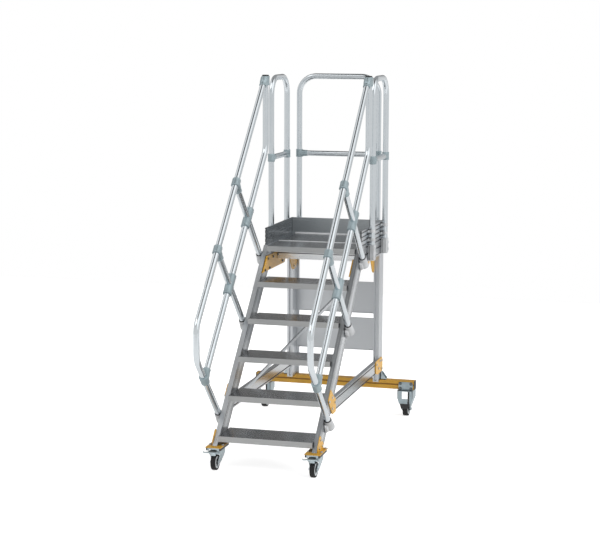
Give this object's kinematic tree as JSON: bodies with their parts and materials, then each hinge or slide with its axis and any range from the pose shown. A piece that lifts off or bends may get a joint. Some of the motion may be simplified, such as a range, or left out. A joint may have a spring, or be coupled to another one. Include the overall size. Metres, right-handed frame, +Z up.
{
  "type": "rolling warehouse ladder",
  "caption": "Rolling warehouse ladder: an open flight of treads up to a railed platform, with handrails on both sides, braked swivel casters in front and fixed casters on a wide rear beam.",
  "frame": {"origin": "on the floor under the middle of the ladder's bounding box", "axes": "+Z up, +Y the way one climbs, +X the climber's right"},
  "size_m": [1.15, 2.0704, 2.372],
  "materials": {
    "frame_aluminium": "extruded, satin anodised",
    "tube_aluminium": "ribbed extruded tube, satin anodised",
    "tread_aluminium": "ribbed anti-slip extrusion, dull",
    "toe_board_aluminium": "grooved extrusion, dull",
    "zinc_plate": "zinc plated pressed steel",
    "yellow_paint": "powder coat, satin",
    "tyre": "moulded rubber tread",
    "black_plastic": "moulded, dull"
  },
  "bodies": {
    "frame": {"base_rail_left": "frame_aluminium", "base_rail_right": "frame_aluminium", "corner_bracket_left": "zinc_plate", "corner_bracket_right": "zinc_plate", "crossbeam_cap_left": "black_plastic", "crossbeam_cap_right": "black_plastic", "deck_panel": "tread_aluminium", "diagonal_brace": "frame_aluminium", "foot_pad_left": "black_plastic", "foot_pad_right": "black_plastic", "foot_plate_left": "yellow_paint", "foot_plate_right": "yellow_paint", "front_deck_beam": "frame_aluminium", "front_gusset_left": "yellow_paint", "front_gusset_right": "yellow_paint", "front_joint_plate_left": "yellow_paint", "front_joint_plate_right": "yellow_paint", "guard_hoop_back": "tube_aluminium", "guard_hoop_left": "tube_aluminium", "guard_hoop_right": "tube_aluminium", "handrail_left": "tube_aluminium", "handrail_right": "tube_aluminium", "knee_rail_left": "tube_aluminium", "knee_rail_right": "tube_aluminium", "lower_panel": "frame_aluminium", "lower_strut_left": "tube_aluminium", "lower_strut_right": "tube_aluminium", "platform_nosing": "tread_aluminium", "rear_crossbeam": "yellow_paint", "rear_fork_left": "zinc_plate", "rear_fork_right": "zinc_plate", "rear_gusset_left": "yellow_paint", "rear_gusset_right": "yellow_paint", "rear_joint_plate_left": "yellow_paint", "rear_joint_plate_right": "yellow_paint", "rear_post_left": "frame_aluminium", "rear_post_right": "frame_aluminium", "side_beam_left": "frame_aluminium", "side_beam_right": "frame_aluminium", "stringer_left": "frame_aluminium", "stringer_right": "frame_aluminium", "toe_board_back": "toe_board_aluminium", "toe_board_left": "toe_board_aluminium", "toe_board_right": "toe_board_aluminium", "tread_1": "tread_aluminium", "tread_2": "tread_aluminium", "tread_3": "tread_aluminium", "tread_4": "tread_aluminium", "tread_5": "tread_aluminium", "upper_panel": "frame_aluminium", "upper_strut_left": "tube_aluminium", "upper_strut_right": "tube_aluminium"},
    "brake_pedal_left": {"brake_pedal_left": "zinc_plate"},
    "brake_pedal_right": {"brake_pedal_right": "zinc_plate"},
    "caster_left": {"front_fork_left": "zinc_plate"},
    "caster_right": {"front_fork_right": "zinc_plate"},
    "front_wheel_left": {"front_wheel_left": "tyre"},
    "front_wheel_right": {"front_wheel_right": "tyre"},
    "rear_wheel_left": {"rear_wheel_left": "tyre"},
    "rear_wheel_right": {"rear_wheel_right": "tyre"}
  },
  "joints": [
    {"name": "caster_swivel_left", "type": "hinge", "parent": "frame", "child": "caster_left", "pos_m": [-0.313, -0.74784, 0.12], "axis": [0, 0, 1], "continuous": true},
    {"name": "front_wheel_spin_left", "type": "hinge", "parent": "caster_left", "child": "front_wheel_left", "pos_m": [-0.313, -0.78784, 0.05], "axis": [1, 0, 0], "continuous": true},
    {"name": "brake_press_left", "type": "hinge", "parent": "caster_left", "child": "brake_pedal_left", "pos_m": [-0.313, -0.79584, 0.11], "axis": [1, 0, 0], "range_deg": [0, 10]},
    {"name": "rear_wheel_spin_left", "type": "hinge", "parent": "frame", "child": "rear_wheel_left", "pos_m": [-0.514, 0.95116, 0.05], "axis": [1, 0, 0], "continuous": true},
    {"name": "caster_swivel_right", "type": "hinge", "parent": "frame", "child": "caster_right", "pos_m": [0.313, -0.74784, 0.12], "axis": [0, 0, 1], "continuous": true},
    {"name": "front_wheel_spin_right", "type": "hinge", "parent": "caster_right", "child": "front_wheel_right", "pos_m": [0.313, -0.78784, 0.05], "axis": [1, 0, 0], "continuous": true},
    {"name": "brake_press_right", "type": "hinge", "parent": "caster_right", "child": "brake_pedal_right", "pos_m": [0.313, -0.79584, 0.11], "axis": [1, 0, 0], "range_deg": [0, 10]},
    {"name": "rear_wheel_spin_right", "type": "hinge", "parent": "frame", "child": "rear_wheel_right", "pos_m": [0.514, 0.95116, 0.05], "axis": [1, 0, 0], "continuous": true}
  ]
}
